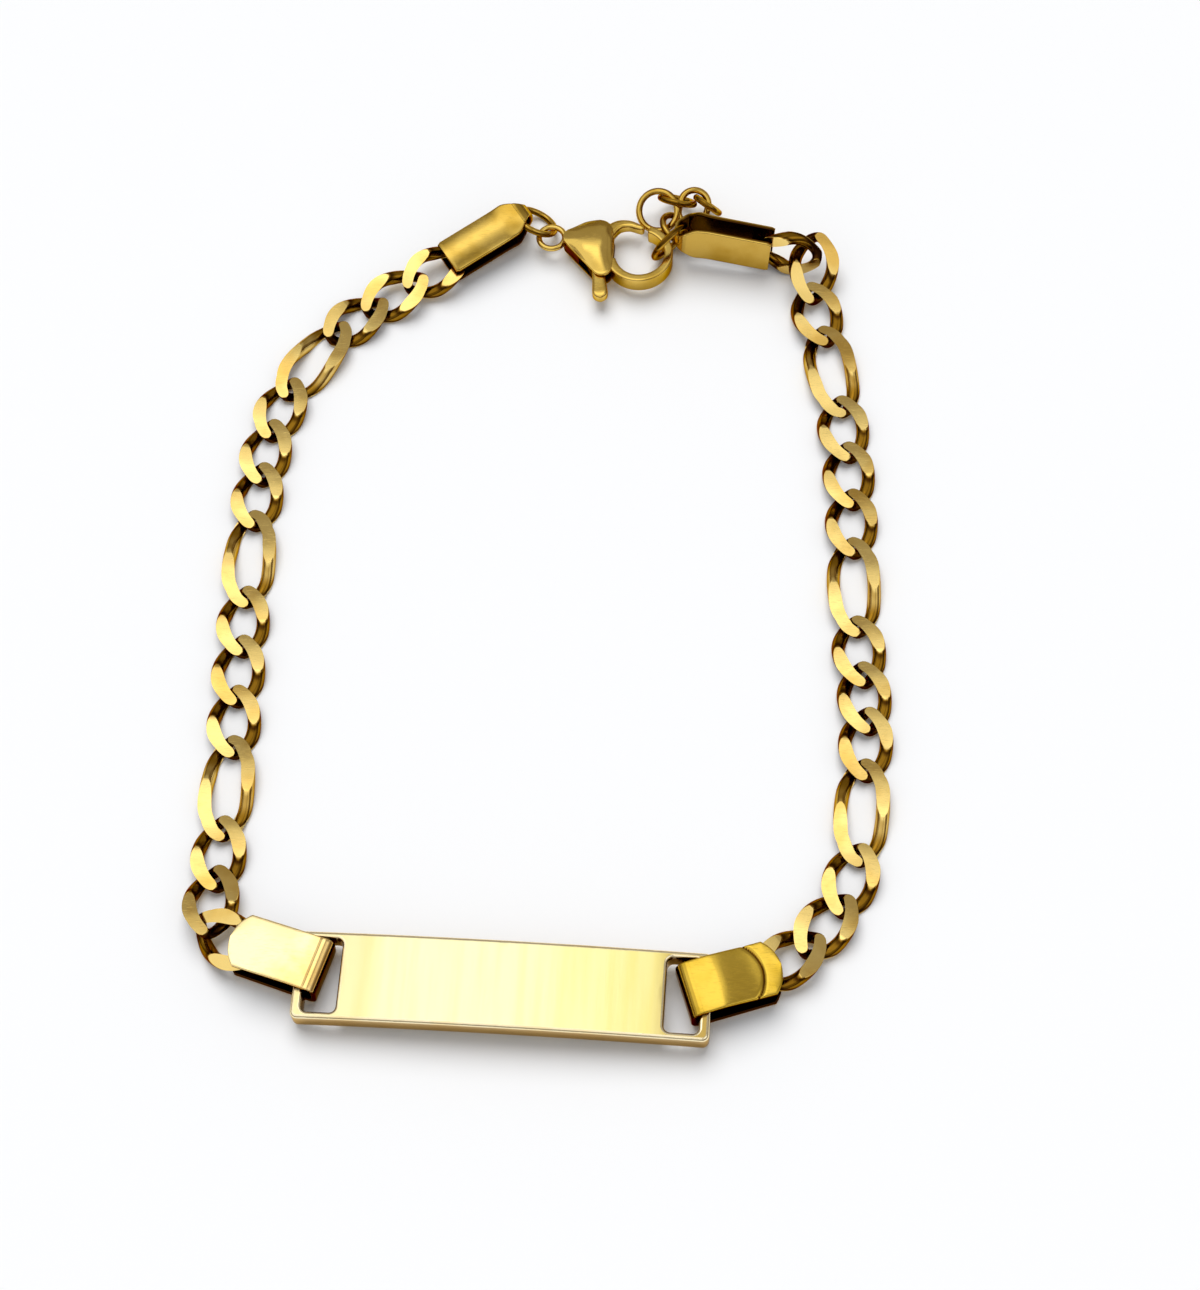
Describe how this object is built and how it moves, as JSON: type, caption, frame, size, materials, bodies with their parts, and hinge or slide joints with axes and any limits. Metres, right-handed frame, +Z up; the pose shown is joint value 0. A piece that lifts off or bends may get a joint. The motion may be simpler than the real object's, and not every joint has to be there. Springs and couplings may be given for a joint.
{
  "type": "chain bracelet",
  "caption": "Gold-coloured figaro chain bracelet with a flat name plate held by folded clips, a lobster clasp and a short extension chain.",
  "frame": {"origin": "on the surface that the bracelet lies on, under the middle of its box", "axes": "+X along the name plate, towards its right end as worn side up; +Y from the plate across the wrist opening to the clasp; +Z up, out of the plate's face"},
  "size_m": [0.0504, 0.0704, 0.004],
  "materials": {
    "plate": "satin face with polished edges",
    "chain": "polished",
    "clips": "polished",
    "clasp": "polished",
    "lever": "polished",
    "pin": "polished",
    "rings": "polished"
  },
  "bodies": {
    "bracelet": {"id_plate": "plate", "end_clip_left": "clips", "end_clip_right": "clips", "clasp_body": "clasp", "clasp_pin": "pin", "plate_clip_left": "clips", "plate_clip_right": "clips", "left_link_00": "chain", "left_link_01": "chain", "left_link_02": "chain", "left_link_03": "chain", "left_link_04": "chain", "left_link_05": "chain", "left_link_06": "chain", "left_link_07": "chain", "left_link_08": "chain", "left_link_09": "chain", "left_link_10": "chain", "left_link_11": "chain", "left_link_12": "chain", "left_link_13": "chain", "left_link_14": "chain", "right_link_00": "chain", "right_link_01": "chain", "right_link_02": "chain", "right_link_03": "chain", "right_link_04": "chain", "right_link_05": "chain", "right_link_06": "chain", "right_link_07": "chain", "right_link_08": "chain", "right_link_09": "chain", "right_link_10": "chain", "right_link_11": "chain", "right_link_12": "chain", "right_link_13": "chain", "right_link_14": "chain", "jump_ring": "rings", "extension_ring_0": "rings", "extension_ring_1": "rings", "extension_ring_2": "rings", "extension_ring_3": "rings", "extension_ring_4": "rings", "extension_ring_5": "rings"},
    "lever": {"clasp_lever": "lever"}
  },
  "joints": [
    {"name": "lever_pivot", "type": "hinge", "parent": "bracelet", "child": "lever", "pos_m": [0.00091, 0.02925, 0.00127], "axis": [0, 0, -1], "range_deg": [0, 24], "stiffness_Nm_per_rad": 0.002, "springref_deg": -17.19}
  ]
}
